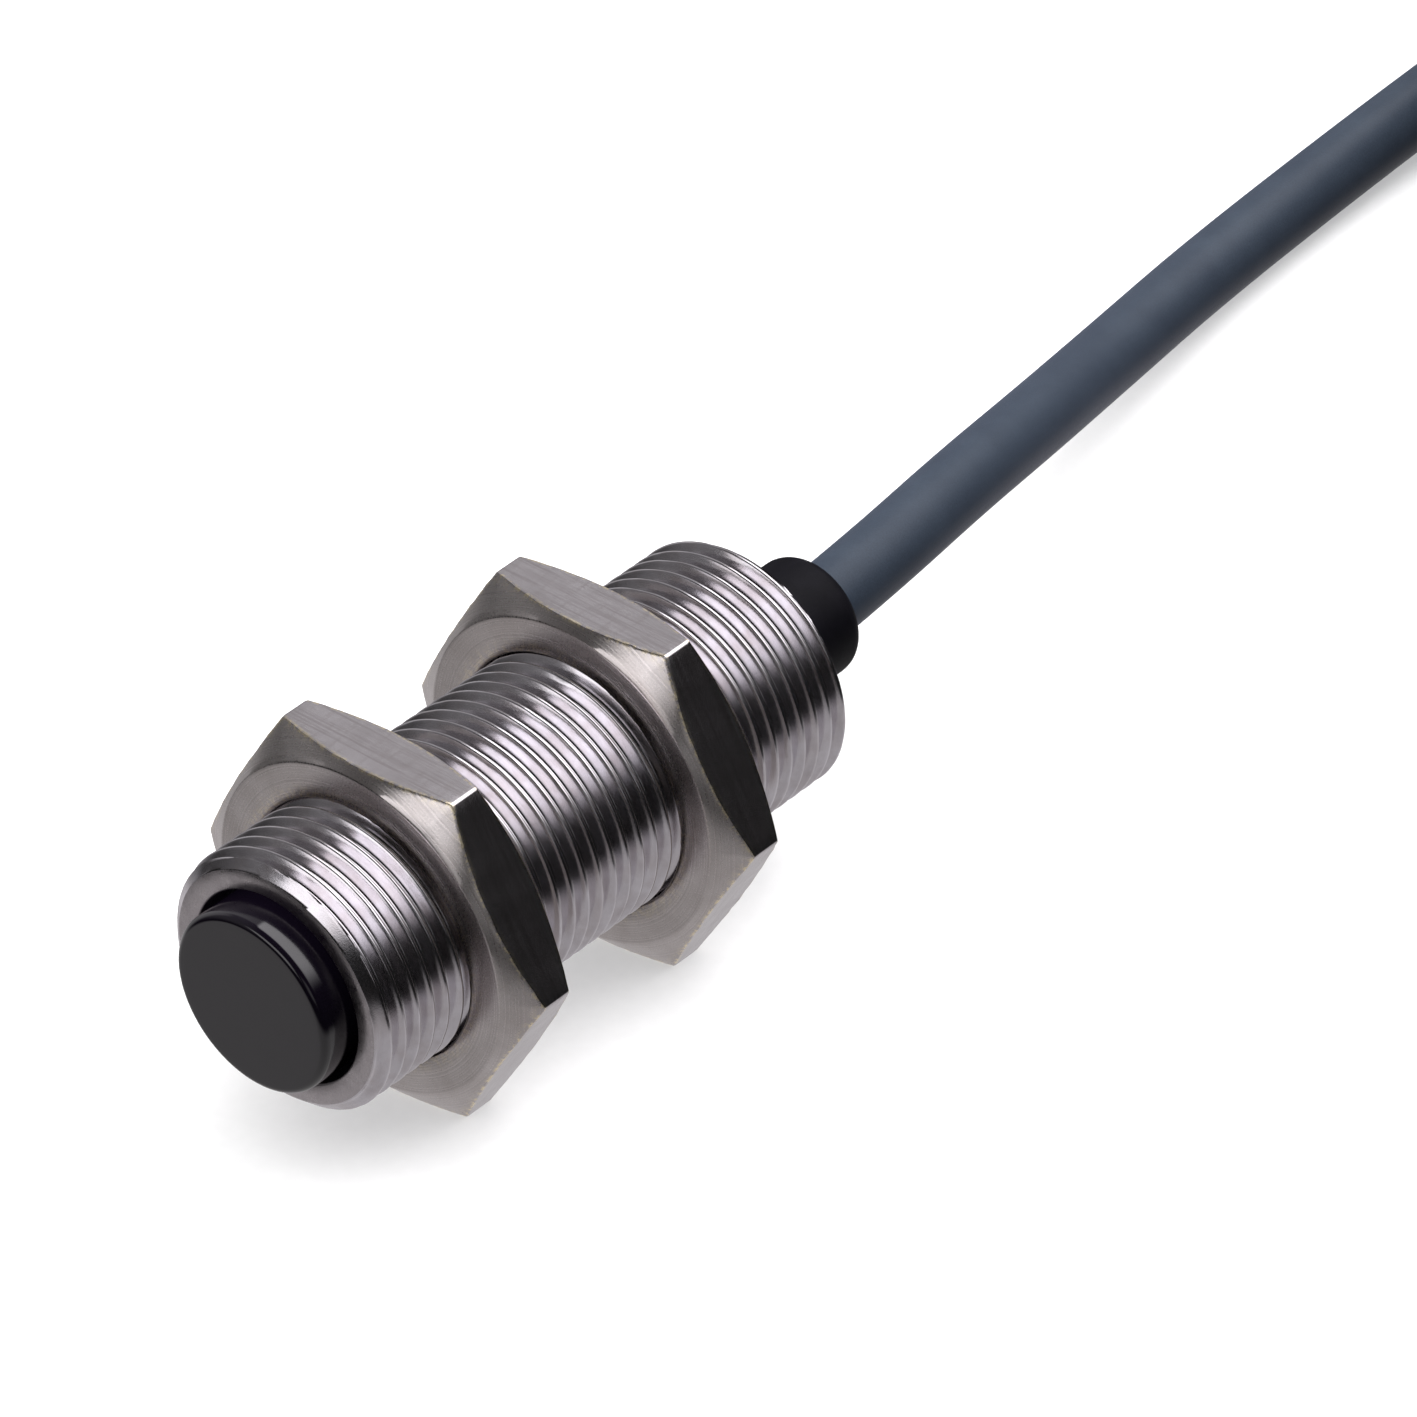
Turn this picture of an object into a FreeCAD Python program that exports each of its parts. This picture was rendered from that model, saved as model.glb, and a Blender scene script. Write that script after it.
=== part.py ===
import FreeCAD, Part
import math
import os
import re
import Sketcher

# Cylindrical photoelectric sensor, M14 x 1, pre-wired. Millimetres, +Z up.
# The barrel lies along Y with its optical window towards -Y and its cable towards +Y, and the two nuts
# rest on their flats at z = 0. Every turned piece is drawn about its own Z axis, with z = 0 at the
# barrel's front face, and one placement lays it down along Y.

V = FreeCAD.Vector

SIZES = {
    # barrel
    "barrel_length": 34.0,
    "thread_radius": 7.0,
    "thread_pitch": 1.0,
    "thread_depth": 0.6,
    "groove_half_mouth": 0.43,
    "groove_half_root": 0.09,
    "face_radius": 6.35,
    "chamfer_run": 0.38,
    "lip_radius": 5.25,
    "lip_length": 2.0,
    "bore_radius": 5.5,
    # nuts
    "nut_flats": 19.0,
    "nut_thickness": 4.0,
    "nut_bore_radius": 7.06,
    "nut_mouth_radius": 7.2,
    "nut_face_radius": 8.98,
    "nut_corner_drop": 1.15,
    "front_nut_at": 5.8,
    "rear_nut_at": 21.0,
    # window cap and its seal
    "cap_radius": 4.9,
    "cap_standout": 1.8,
    "cap_wall": 0.8,
    "cap_front_wall": 1.0,
    "cap_edge_round": 0.5,
    "cap_seat": 2.6,
    "cap_flange_radius": 5.42,
    "cap_flange_thickness": 1.0,
    "seal_centre_radius": 5.2,
    "seal_section_radius": 0.29,
    # optics
    "carrier_front": 0.5,
    "carrier_radius": 4.0,
    "carrier_shoulder": 3.7,
    "carrier_shoulder_radius": 5.3,
    "carrier_rear": 7.5,
    "channel_offset": 1.95,
    "channel_radius": 1.55,
    "barrier_thickness": 0.3,
    "barrier_width": 6.2,
    "barrier_rear": 3.2,
    "slot_thickness": 0.36,
    "lens_radius": 1.5,
    "lens_thickness": 1.1,
    "lens_sphere_radius": 2.6,
    "diode_radius": 1.4,
    "emitter_front": 3.6,
    "receiver_front": 4.2,
    "diode_rear": 6.0,
    "lead_radius": 0.2,
    "lead_offset": 0.6,
    "lead_rear": 9.4,
    # electronics
    "board_width": 8.8,
    "board_thickness": 0.8,
    "board_front": 8.2,
    "board_rear": 25.0,
    "chip_standoff": 0.1,
    "shield_radius": 5.3,
    "shield_wall": 0.2,
    "shield_rear": 25.4,
    # rear end
    "potting_front": 26.0,
    "potting_rear": 29.0,
    "clamp_ring_radius": 2.8,
    "clamp_ring_rear": 30.6,
    "grommet_flange_radius": 5.46,
    "grommet_flange_rear": 33.2,
    "grommet_radius": 3.3,
    "grommet_standout": 5.6,
    "grommet_round": 1.0,
    # cable
    "cable_radius": 2.0,
    "core_radius": 0.5,
    "core_front": 22.8,
    "tail_core_radius": 0.55,
    "tinned_radius": 0.36,
    "tinned_length": 5.0,
    # coil of put-away cable, and its ties
    "coil_x": 16.6,
    "coil_y": 108.0,
    "coil_inner_radius": 18.0,
    "coil_outer_radius": 30.0,
    "coil_height": 16.0,
    "tie_thickness": 0.8,
    "tie_width": 2.5,
    "tie_ease": 0.05,
    # where the sensor stands
    "axis_height": 9.5,
}

doc = FreeCAD.newDocument("photoelectric_sensor")
sheet = doc.addObject("Spreadsheet::Sheet", "Sizes")
for row, (alias, value) in enumerate(SIZES.items(), start=1):
    sheet.set(f"A{row}", alias)
    sheet.set(f"B{row}", str(value))
    sheet.setAlias(f"B{row}", alias)
doc.recompute()

NODES = []


def cells(formula):
    """Write a formula of cell names as an expression on the sheet."""
    return re.sub(r"[a-z]\w*", lambda word: "Sizes." + word.group(), str(formula))


def size(formula):
    """The number that a formula of cell names comes to."""
    return float(sheet.evalExpression(cells(formula)))


FACE_Y = -(size("barrel_length + cap_standout + grommet_standout") / 2 - size("cap_standout"))
LAID_DOWN = FreeCAD.Placement(V(0, FACE_Y, size("axis_height")), FreeCAD.Rotation(V(1, 0, 0), -90))
STANDING = FreeCAD.Placement()


def bind(feature, **formulas):
    """Drive a feature's properties from the sheet."""
    for name, formula in formulas.items():
        feature.setExpression(name, cells(formula))
    return feature


def node(feature, label, placement=LAID_DOWN):
    """Name a finished sub-part and put it in its place."""
    feature.Label = label
    feature.Placement = placement
    NODES.append(feature)
    return feature


# ---------------------------------------------------------------- sketches and bodies


def origin_plane(body, role):
    return next(item for item in body.Origin.OriginFeatures if item.Role == role)


def new_sketch(body, name, role):
    sketch = body.newObject("Sketcher::SketchObject", name)
    sketch.AttachmentSupport = [(origin_plane(body, role), "")]
    sketch.MapMode = "FlatFace"
    return sketch


def add_loop(sketch, corners):
    """Add a closed outline whose corners are pairs of formulas, each corner tied to its cells."""
    points = [V(size(across), size(along), 0) for across, along in corners]
    first = sketch.GeometryCount
    count = len(points)
    for index, point in enumerate(points):
        sketch.addGeometry(Part.LineSegment(point, points[(index + 1) % count]), False)
    for index, (across, along) in enumerate(corners):
        line = first + index
        following = first + (index + 1) % count
        sketch.addConstraint(Sketcher.Constraint("Coincident", line, 2, following, 1))
        places = (("DistanceX", points[index].x, across), ("DistanceY", points[index].y, along))
        for kind, value, formula in places:
            number = sketch.addConstraint(Sketcher.Constraint(kind, -1, 1, line, 1, value))
            sketch.setExpression(f"Constraints[{number}]", cells(formula))


def profile(body, name, *loops, role="XZ_Plane"):
    """A sketch of one or more closed outlines: distance from the axis, then distance along it."""
    sketch = new_sketch(body, name, role)
    for corners in loops:
        add_loop(sketch, corners)
    doc.recompute()
    return sketch


def new_body(name):
    return doc.addObject("PartDesign::Body", name + "_body")


def turned(body, kind, sketch):
    """Revolve a profile about the piece's axis, to add (Revolution) or to cut (Groove)."""
    feature = body.newObject("PartDesign::" + kind, sketch.Name + "_turned")
    feature.Profile = sketch
    feature.ReferenceAxis = (sketch, ["V_Axis"])
    feature.Angle = 360
    doc.recompute()
    return feature


def rounded_rim(body, radius, along, rounding):
    """Fillet the circular edge that has this radius at this distance along the axis."""
    base = body.Tip
    edges = []
    for number, edge in enumerate(base.Shape.Edges, start=1):
        circle = edge.Curve
        if isinstance(circle, Part.Circle):
            fits = abs(circle.Radius - size(radius)) < 1e-6 and abs(circle.Center.z - size(along)) < 1e-6
            if fits:
                edges.append(f"Edge{number}")
    fillet = body.newObject("PartDesign::Fillet", body.Name + "_round")
    fillet.Base = (base, edges)
    bind(fillet, Radius=rounding)
    doc.recompute()
    return fillet


def turned_piece(label, *loops, rim=None):
    """A piece turned from one profile, with one rim rounded if it has one."""
    body = new_body(label)
    turned(body, "Revolution", profile(body, label + "_profile", *loops))
    if rim:
        rounded_rim(body, *rim)
    return node(body, label)


def ring_corners(inner, outer, front, rear):
    return [(inner, front), (outer, front), (outer, rear), (inner, rear)]


# ---------------------------------------------------------------- plain solids


def cylinder(name, radius, front, rear, across="0", up="0"):
    """A cylinder along the sensor's axis, between two distances from the barrel's face."""
    rod = doc.addObject("Part::Cylinder", name)
    bind(rod, Radius=radius, Height=f"({rear}) - ({front})")
    rod.Placement.Base = V(size(across), -size(up), size(front))
    return rod


def block(name, width, thickness, front, rear, across="0", up="0"):
    """A box centred across the axis, its underside this far above the axis."""
    box = doc.addObject("Part::Box", name)
    bind(box, Length=width, Width=thickness, Height=f"({rear}) - ({front})")
    box.Placement.Base = V(size(f"({across}) - ({width}) / 2"), -size(f"({up}) + ({thickness})"), size(front))
    return box


def fused(name, shapes):
    fuse = doc.addObject("Part::MultiFuse", name)
    fuse.Shapes = shapes
    return fuse


def cut(name, base, tool):
    difference = doc.addObject("Part::Cut", name)
    difference.Base = base
    difference.Tool = tool
    return difference


def common(name, base, tool):
    overlap = doc.addObject("Part::Common", name)
    overlap.Base = base
    overlap.Tool = tool
    return overlap


def group(name, solids):
    """Separate solids that share one node."""
    compound = doc.addObject("Part::Compound", name)
    compound.Links = solids
    return compound


# ---------------------------------------------------------------- barrel


def make_barrel():
    """Threaded tube with chamfered ends and an inner lip at its mouth."""
    body = new_body("barrel")
    outline = [
        ("lip_radius", "0"),
        ("face_radius", "0"),
        ("thread_radius", "chamfer_run"),
        ("thread_radius", "barrel_length - chamfer_run"),
        ("face_radius", "barrel_length"),
        ("bore_radius", "barrel_length"),
        ("bore_radius", "lip_length"),
        ("lip_radius", "lip_length"),
    ]
    turned(body, "Revolution", profile(body, "barrel_profile", outline))
    blank_volume = body.Tip.Shape.Volume
    start = "0 - thread_pitch"
    vee = [
        ("thread_radius - thread_depth", f"{start} - groove_half_root"),
        ("thread_radius + 0.1", f"{start} - groove_half_mouth - 0.05"),
        ("thread_radius + 0.1", f"{start} + groove_half_mouth + 0.05"),
        ("thread_radius - thread_depth", f"{start} + groove_half_root"),
    ]
    sketch = profile(body, "thread_vee", vee)
    thread = body.newObject("PartDesign::SubtractiveHelix", "thread")
    thread.Profile = sketch
    thread.ReferenceAxis = (sketch, ["V_Axis"])
    thread.Mode = 0
    bind(thread, Pitch="thread_pitch", Height="barrel_length + 2 * thread_pitch")
    doc.recompute()
    print(f"thread removes {blank_volume - body.Tip.Shape.Volume:.1f} mm3 of {blank_volume:.1f} mm3")
    node(body, "barrel")


# ---------------------------------------------------------------- nuts


def make_nut(label, front):
    """Hexagon nut, chamfered at its corners on both faces, with countersunk mouths."""
    body = new_body(label)
    corner = "nut_flats / 1.7320508"
    hexagon = [(f"{corner} * {x}", f"nut_flats / 2 * {y}") for x, y in
               ((1, 0), (0.5, 1), (-0.5, 1), (-1, 0), (-0.5, -1), (0.5, -1))]
    pad = body.newObject("PartDesign::Pad", label + "_pad")
    pad.Profile = profile(body, label + "_hexagon", hexagon, role="XY_Plane")
    bind(pad, Length="nut_thickness")
    doc.recompute()
    blank_volume = pad.Shape.Volume
    mouth = "nut_mouth_radius - nut_bore_radius"
    outside = f"{corner} + 1"
    drop = f"nut_corner_drop * ({outside} - nut_face_radius) / ({corner} - nut_face_radius)"
    front_corners = [
        ("nut_face_radius", "0"),
        (outside, drop),
        (outside, "0 - 1"),
        ("nut_face_radius", "0 - 1"),
    ]
    rear_corners = [
        ("nut_face_radius", "nut_thickness"),
        (outside, f"nut_thickness - {drop}"),
        (outside, "nut_thickness + 1"),
        ("nut_face_radius", "nut_thickness + 1"),
    ]
    bore = [
        ("0", "0"),
        ("nut_mouth_radius", "0"),
        ("nut_bore_radius", mouth),
        ("nut_bore_radius", f"nut_thickness - ({mouth})"),
        ("nut_mouth_radius", "nut_thickness"),
        ("0", "nut_thickness"),
    ]
    turned(body, "Groove", profile(body, label + "_cuts", front_corners, rear_corners, bore))
    print(f"{label} keeps {body.Tip.Shape.Volume:.1f} mm3 of {blank_volume:.1f} mm3")
    node(body, label, LAID_DOWN * FreeCAD.Placement(V(0, 0, size(front)), FreeCAD.Rotation()))


# ---------------------------------------------------------------- window cap and optics


def make_window():
    cap = [
        ("0", "0 - cap_standout"),
        ("cap_radius", "0 - cap_standout"),
        ("cap_radius", "cap_seat"),
        ("cap_flange_radius", "cap_seat"),
        ("cap_flange_radius", "cap_seat + cap_flange_thickness"),
        ("cap_radius - cap_wall", "cap_seat + cap_flange_thickness"),
        ("cap_radius - cap_wall", "cap_front_wall - cap_standout"),
        ("0", "cap_front_wall - cap_standout"),
    ]
    turned_piece("lens_cap", cap, rim=("cap_radius", "0 - cap_standout", "cap_edge_round"))
    seal = doc.addObject("Part::Torus", "seal")
    bind(seal, Radius1="seal_centre_radius", Radius2="seal_section_radius")
    middle = size("(lip_length + cap_seat) / 2")
    node(seal, "cap_seal_ring", LAID_DOWN * FreeCAD.Placement(V(0, 0, middle), FreeCAD.Rotation()))


def make_optics():
    """Holder with a transmitting and a receiving channel, a wall between them, two lenses and two diodes."""
    front = "0 - carrier_front"
    nose = cylinder("carrier_nose", "carrier_radius", front, "carrier_shoulder")
    shoulder = cylinder("carrier_base", "carrier_shoulder_radius", "carrier_shoulder", "carrier_rear")
    channels = [
        cylinder(f"channel_{name}", "channel_radius", "0 - carrier_front - 1", "carrier_rear + 1", across)
        for name, across in (("left", "0 - channel_offset"), ("right", "channel_offset"))
    ]
    slot = block("slot", "slot_thickness", "barrier_width", "0 - 2", "barrier_rear", up="0 - barrier_width / 2")
    carrier = cut("carrier", fused("carrier_blank", [nose, shoulder]), fused("openings", channels + [slot]))
    node(carrier, "optics_carrier")
    barrier = block("barrier", "barrier_thickness", "barrier_width", "0 - carrier_front - 0.2", "barrier_rear",
                    up="0 - barrier_width / 2")
    node(barrier, "light_barrier", LAID_DOWN * barrier.Placement)
    for name, side in (("emitter", "0 - channel_offset"), ("receiver", "channel_offset")):
        disc = cylinder(f"{name}_disc", "lens_radius", front, f"{front} + lens_thickness", side)
        ball = bind(doc.addObject("Part::Sphere", f"{name}_ball"), Radius="lens_sphere_radius")
        ball.Placement.Base = V(size(side), 0, size(f"{front} + lens_sphere_radius"))
        node(common(f"{name}_lens_shape", disc, ball), f"{name}_lens")
    case = cylinder("emitter_case", "diode_radius", "emitter_front", "diode_rear", "0 - channel_offset")
    dome = bind(doc.addObject("Part::Sphere", "emitter_dome"), Radius="diode_radius")
    dome.Placement.Base = V(-size("channel_offset"), 0, size("emitter_front"))
    node(fused("emitter_shape", [case, dome]), "emitter_led")
    window = cylinder("receiver_case", "diode_radius", "receiver_front", "diode_rear", "channel_offset")
    node(window, "receiver_diode", LAID_DOWN * window.Placement)
    for name, side in (("emitter", "0 - channel_offset"), ("receiver", "channel_offset")):
        leads = [
            cylinder(f"{name}_lead_{word}", "lead_radius", "diode_rear", "lead_rear", side, height)
            for word, height in (("over", "lead_offset"), ("under", "0 - lead_offset"))
        ]
        node(group(f"{name}_lead_pair", leads), f"{name}_leads")


# ---------------------------------------------------------------- electronics

# width, height and length of a package, then its middle across the board and its front edge, all in mm
PACKAGES = {
    "amplifier_chip": (4.0, 1.5, 5.0, 0.0, 13.0),
    "voltage_regulator": (2.6, 1.1, 3.0, -1.9, 19.2),
    "output_transistor": (1.4, 1.0, 2.9, 2.6, 19.2),
    "supply_capacitor": (3.2, 1.7, 1.8, 0.0, 10.6),
}
CHIP_CAPACITORS = ((-3.2, 10.4), (3.2, 10.4), (-3.4, 16.6))
CHIP_RESISTORS = ((3.4, 16.6), (-3.4, 14.6), (3.4, 14.6), (0.6, 20.4))
CHIP_CAPACITOR_SIZE = (0.8, 0.7, 1.6)
CHIP_RESISTOR_SIZE = (0.8, 0.4, 1.6)
LEAD_FOOT = (1.0, 0.5, 0.4)


def on_board(name, package, across, front):
    """A package of width, height and length that stands on the board's top face."""
    width, height, length = package
    box = block(name, width, height, front, front + length, across, "board_thickness / 2 + chip_standoff")
    return box


def make_electronics():
    board = block("board", "board_width", "board_thickness", "board_front", "board_rear",
                  up="0 - board_thickness / 2")
    node(board, "circuit_board", LAID_DOWN * board.Placement)
    for label, (width, height, length, across, front) in PACKAGES.items():
        box = on_board(label + "_box", (width, height, length), across, front)
        node(box, label, LAID_DOWN * box.Placement)
    width, _, length, across, front = PACKAGES["amplifier_chip"]
    foot_width, foot_height, foot_length = LEAD_FOOT
    feet = []
    for side in (-1, 1):
        for number in range(4):
            middle = across + side * (width + foot_width) / 2
            at = front + length * (number + 0.5) / 4 - foot_length / 2
            feet.append(block(f"foot_{number}_{'left' if side < 0 else 'right'}", foot_width, foot_height,
                              at, at + foot_length, middle, "board_thickness / 2"))
    node(group("feet", feet), "chip_leads")
    for label, package, places in (("chip_capacitors", CHIP_CAPACITOR_SIZE, CHIP_CAPACITORS),
                                   ("chip_resistors", CHIP_RESISTOR_SIZE, CHIP_RESISTORS)):
        chips = [on_board(f"{label}_{number}", package, *place) for number, place in enumerate(places)]
        node(group(label + "_set", chips), label)
    turned_piece("shield_sleeve", ring_corners("shield_radius - shield_wall", "shield_radius", "board_front",
                                               "shield_rear"))


# ---------------------------------------------------------------- rear end

CORE_PLACES = {"brown_wire": (-1.1, 0.92), "blue_wire": (1.1, 0.92), "black_wire": (0.0, -0.92)}


def make_rear_end():
    """Resin plug, crimped ring, rubber grommet and the cable's end with its three cores."""
    turned_piece("potting_plug", ring_corners("cable_radius", "bore_radius", "potting_front", "potting_rear"))
    turned_piece("cable_clamp_ring", ring_corners("cable_radius", "clamp_ring_radius", "potting_rear",
                                                  "clamp_ring_rear"))
    rear = "barrel_length + grommet_standout"
    grommet = [
        ("cable_radius", "clamp_ring_rear"),
        ("grommet_flange_radius", "clamp_ring_rear"),
        ("grommet_flange_radius", "grommet_flange_rear"),
        ("grommet_radius", "grommet_flange_rear"),
        ("grommet_radius", rear),
        ("cable_radius", rear),
    ]
    turned_piece("cable_grommet", grommet, rim=("grommet_radius", rear, "grommet_round"))
    jacket = cylinder("jacket", "cable_radius", "potting_front", rear)
    node(jacket, "cable_end", LAID_DOWN * jacket.Placement)
    for label, (across, up) in CORE_PLACES.items():
        core = cylinder(label + "_core", "core_radius", "core_front", "potting_front", across, up)
        node(core, label, LAID_DOWN * core.Placement)


# ---------------------------------------------------------------- free cable

# The free cable's way: out of the grommet, down to the surface and on to the coil.
EXIT_Y = FACE_Y + size("barrel_length + grommet_standout")
CABLE_WAY = [
    (0.0, EXIT_Y, 9.5),
    (0.0, 27.0, 9.5),
    (-1.9, 35.0, 8.6),
    (-4.8, 44.0, 6.3),
    (-7.9, 54.0, 3.8),
    (-10.3, 65.0, 2.3),
    (-11.3, 77.0, 2.0),
    (-11.7, 88.0, 2.1),
    (-11.6, 98.5, 2.5),
    (-11.4, 108.0, 2.8),
]
# The last half turn lies against the coil's outside and comes down to the surface.
TAIL_WAY = [
    (-11.4, 108.0, 14.8),
    (-11.1, 116.0, 14.7),
    (-8.6, 126.5, 13.2),
    (-1.6, 135.6, 10.4),
    (9.2, 141.1, 7.2),
    (21.6, 141.2, 4.4),
    (33.2, 136.9, 2.6),
    (42.7, 129.1, 2.1),
    (47.8, 119.8, 2.0),
    (49.3, 109.6, 2.0),
    (49.3, 99.6, 2.0),
]
# Each core leaves the jacket's end at its own place and spreads by its own amount.
CORE_STARTS = {"brown_core": (-0.85, -0.5), "blue_core": (0.85, -0.5), "black_core": (0.0, 0.95)}
CORE_SPREADS = {
    "brown_core": (0.0, -0.8, -2.7, -5.4),
    "blue_core": (0.0, 0.9, 2.6, 4.9),
    "black_core": (0.0, 0.2, -0.1, 0.7),
}
CORE_STEPS = (4.5, 10.0, 17.0, 25.0)
CORE_DROPS = (0.0, 0.5, 0.96, 1.0)


def path_wire(points):
    """Straight runs joined by tangent arcs, each as large as its two runs allow. Returns wire and radii."""
    corners = [V(*point) for point in points]
    edges = []
    radii = []
    start = corners[0]
    for before, corner, after in zip(corners, corners[1:], corners[2:]):
        inward = (before - corner).normalize()
        outward = (after - corner).normalize()
        shorter = min((before - corner).Length, (after - corner).Length)
        half_turn = (math.pi - inward.getAngle(outward)) / 2
        reach = 0.45 * shorter
        radius = reach / math.tan(half_turn)
        radii.append(radius)
        first = corner + inward * reach
        last = corner + outward * reach
        bisector = (inward + outward).normalize()
        middle = corner + bisector * (radius / math.cos(half_turn) - radius)
        edges.append(Part.LineSegment(start, first).toShape())
        edges.append(Part.Arc(first, middle, last).toShape())
        start = last
    edges.append(Part.LineSegment(start, corners[-1]).toShape())
    return Part.Wire(edges), radii


def tube(label, points, radius):
    """A round tube along a way, in its own node."""
    wire, radii = path_wire(points)
    heading = V(*points[1]) - V(*points[0])
    section = Part.Wire(Part.makeCircle(radius, V(*points[0]), heading))
    solid = wire.makePipeShell([section], True, False)
    expected = math.pi * radius ** 2 * wire.Length
    print(f"{label}: length {wire.Length:.1f}, tightest radius {min(radii):.1f}, "
          f"radii {[round(value) for value in radii]}, volume {solid.Volume:.1f} of {expected:.1f}")
    if abs(solid.Volume - expected) > 0.01 * expected:
        raise RuntimeError(f"{label} is not a sound tube")
    feature = doc.addObject("Part::Feature", label + "_tube")
    feature.Shape = solid
    return node(feature, label, STANDING)


def make_cable():
    radius = size("cable_radius")
    tube("cable", CABLE_WAY, radius)
    tube("cable_tail", TAIL_WAY, radius)
    end = V(*TAIL_WAY[-1])
    core_radius = size("tail_core_radius")
    tips = []
    for label, (across, up) in CORE_STARTS.items():
        start = V(end.x + across, end.y, end.z + up)
        way = [tuple(start)]
        for step, drop, spread in zip(CORE_STEPS, CORE_DROPS, CORE_SPREADS[label]):
            way.append((start.x + spread, start.y - step, start.z + drop * (core_radius - start.z)))
        tube(label, way, core_radius)
        last = V(*way[-1])
        heading = (last - V(*way[-2])).normalize()
        tip = doc.addObject("Part::Cylinder", label + "_tip")
        bind(tip, Radius="tinned_radius", Height="tinned_length")
        tip.Placement = FreeCAD.Placement(last, FreeCAD.Rotation(V(0, 0, 1), heading))
        tips.append(tip)
    node(group("tips", tips), "tinned_ends", STANDING)


def make_coil():
    """The put-away turns as one ring, held by two ties that it stands on."""
    foot = size("tie_thickness")
    centre = V(size("coil_x"), size("coil_y"), foot)
    rings = []
    for name, radius in (("outer", "coil_outer_radius"), ("inner", "coil_inner_radius")):
        ring = bind(doc.addObject("Part::Cylinder", "coil_" + name), Radius=radius, Height="coil_height")
        ring.Placement.Base = centre
        rings.append(ring)
    node(cut("coil_ring", *rings), "cable_coil", STANDING)
    ties = []
    thickness = "tie_thickness"
    band = "coil_outer_radius - coil_inner_radius"
    for name, angle in (("near", -90), ("far", 30)):
        outer = bind(doc.addObject("Part::Box", f"tie_{name}_outside"), Length=f"{band} + 2 * {thickness}",
                     Width="tie_width", Height=f"coil_height + 2 * {thickness}")
        inner = bind(doc.addObject("Part::Box", f"tie_{name}_inside"), Length=f"{band} + tie_ease",
                     Width="tie_width", Height="coil_height")
        outer.Placement.Base = V(size(f"coil_inner_radius - {thickness}"), -size("tie_width") / 2, -foot)
        inner.Placement.Base = V(size("coil_inner_radius - tie_ease"), -size("tie_width") / 2, 0)
        tie = cut(f"tie_{name}", outer, inner)
        tie.Placement = FreeCAD.Placement(centre, FreeCAD.Rotation(V(0, 0, 1), angle))
        ties.append(tie)
    node(group("tie_pair", ties), "coil_ties", STANDING)


# ---------------------------------------------------------------- build, check and write


def check(everything):
    """Stop if a feature failed or a sub-part's shape is not sound."""
    for item in everything:
        if "Invalid" in item.State or "Error" in item.State:
            raise RuntimeError(f"{item.Name} failed: {item.State}")
    for item in NODES:
        if item.Shape.isNull() or not item.Shape.isValid():
            raise RuntimeError(f"{item.Label} has no valid shape")


def main():
    make_barrel()
    make_nut("front_nut", "front_nut_at")
    make_nut("rear_nut", "rear_nut_at")
    make_window()
    make_optics()
    make_electronics()
    make_rear_end()
    make_cable()
    make_coil()
    doc.recompute()
    check(doc.Objects)
    os.makedirs("parts", exist_ok=True)
    for item in NODES:
        item.Shape.exportStep(f"parts/{item.Label}.step")
        box = item.Shape.BoundBox
        print(f"{item.Label}: {len(item.Shape.Solids)} solid(s), {item.Shape.Volume:.2f} mm3, "
              f"x {box.XMin:.2f}..{box.XMax:.2f}, y {box.YMin:.2f}..{box.YMax:.2f}, "
              f"z {box.ZMin:.2f}..{box.ZMax:.2f}")


main()
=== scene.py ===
import math

import bmesh
import bpy
from mathutils import Matrix, Vector, noise


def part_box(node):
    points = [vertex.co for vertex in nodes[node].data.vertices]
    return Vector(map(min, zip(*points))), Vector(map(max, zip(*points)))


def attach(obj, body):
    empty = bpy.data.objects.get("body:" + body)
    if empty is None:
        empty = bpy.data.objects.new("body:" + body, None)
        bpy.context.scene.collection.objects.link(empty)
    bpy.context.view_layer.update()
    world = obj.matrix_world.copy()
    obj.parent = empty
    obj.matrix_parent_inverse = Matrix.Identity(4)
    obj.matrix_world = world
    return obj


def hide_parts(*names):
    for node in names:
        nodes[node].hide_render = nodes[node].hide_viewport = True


# Looks of a cylindrical photoelectric sensor, M14 x 1, with two jam nuts and a grey cable. Shapes are
# written in millimetres, and MM turns them into metres. The sensor lies along Y, its window towards -Y.

MM = 0.001

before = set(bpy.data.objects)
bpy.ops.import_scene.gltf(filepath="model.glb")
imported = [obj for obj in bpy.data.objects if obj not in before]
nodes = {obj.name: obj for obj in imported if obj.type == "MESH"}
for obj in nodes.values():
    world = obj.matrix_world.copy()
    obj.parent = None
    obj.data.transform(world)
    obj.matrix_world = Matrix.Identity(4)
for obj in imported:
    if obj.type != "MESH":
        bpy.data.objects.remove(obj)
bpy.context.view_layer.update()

# ---------------------------------------------------------------- sizes, in millimetres

AXIS_HEIGHT = 9.5
FACE_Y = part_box("barrel")[0].y / MM
BARREL_LENGTH = 34.0
THREAD_RADIUS = 7.0
PITCH = 1.0
FACE_RADIUS = 6.35
CHAMFER_RUN = 0.38
LIP_RADIUS = 5.25
LIP_LENGTH = 2.0
BORE_RADIUS = 5.5
BURR_DEPTH = 0.05
NUT_FLATS = 19.0
NUT_THICKNESS = 4.0
FRONT_NUT_PLACE = 5.8
REAR_NUT_PLACE = 21.0
NUT_BORE_RADIUS = 7.06
NUT_MOUTH_RADIUS = 7.2
NUT_FACE_RADIUS = 9.06
NUT_FLAT_DROP = 0.42
NUT_CORNER_DROP = 1.15
NUT_CORNER_ROUND = 0.22
CAP_RADIUS = 4.9
CAP_FRONT = -1.8
CAP_ROUND = 0.4
CAP_WALL = 1.0
CAP_FLANGE_RADIUS = 5.42
CAP_FLANGE = (2.6, 3.6)
GROMMET_PLUG_RADIUS = 5.46
GROMMET_PLUG = (30.6, 33.2)
GROMMET_NECK_RADIUS = 3.3
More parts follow.
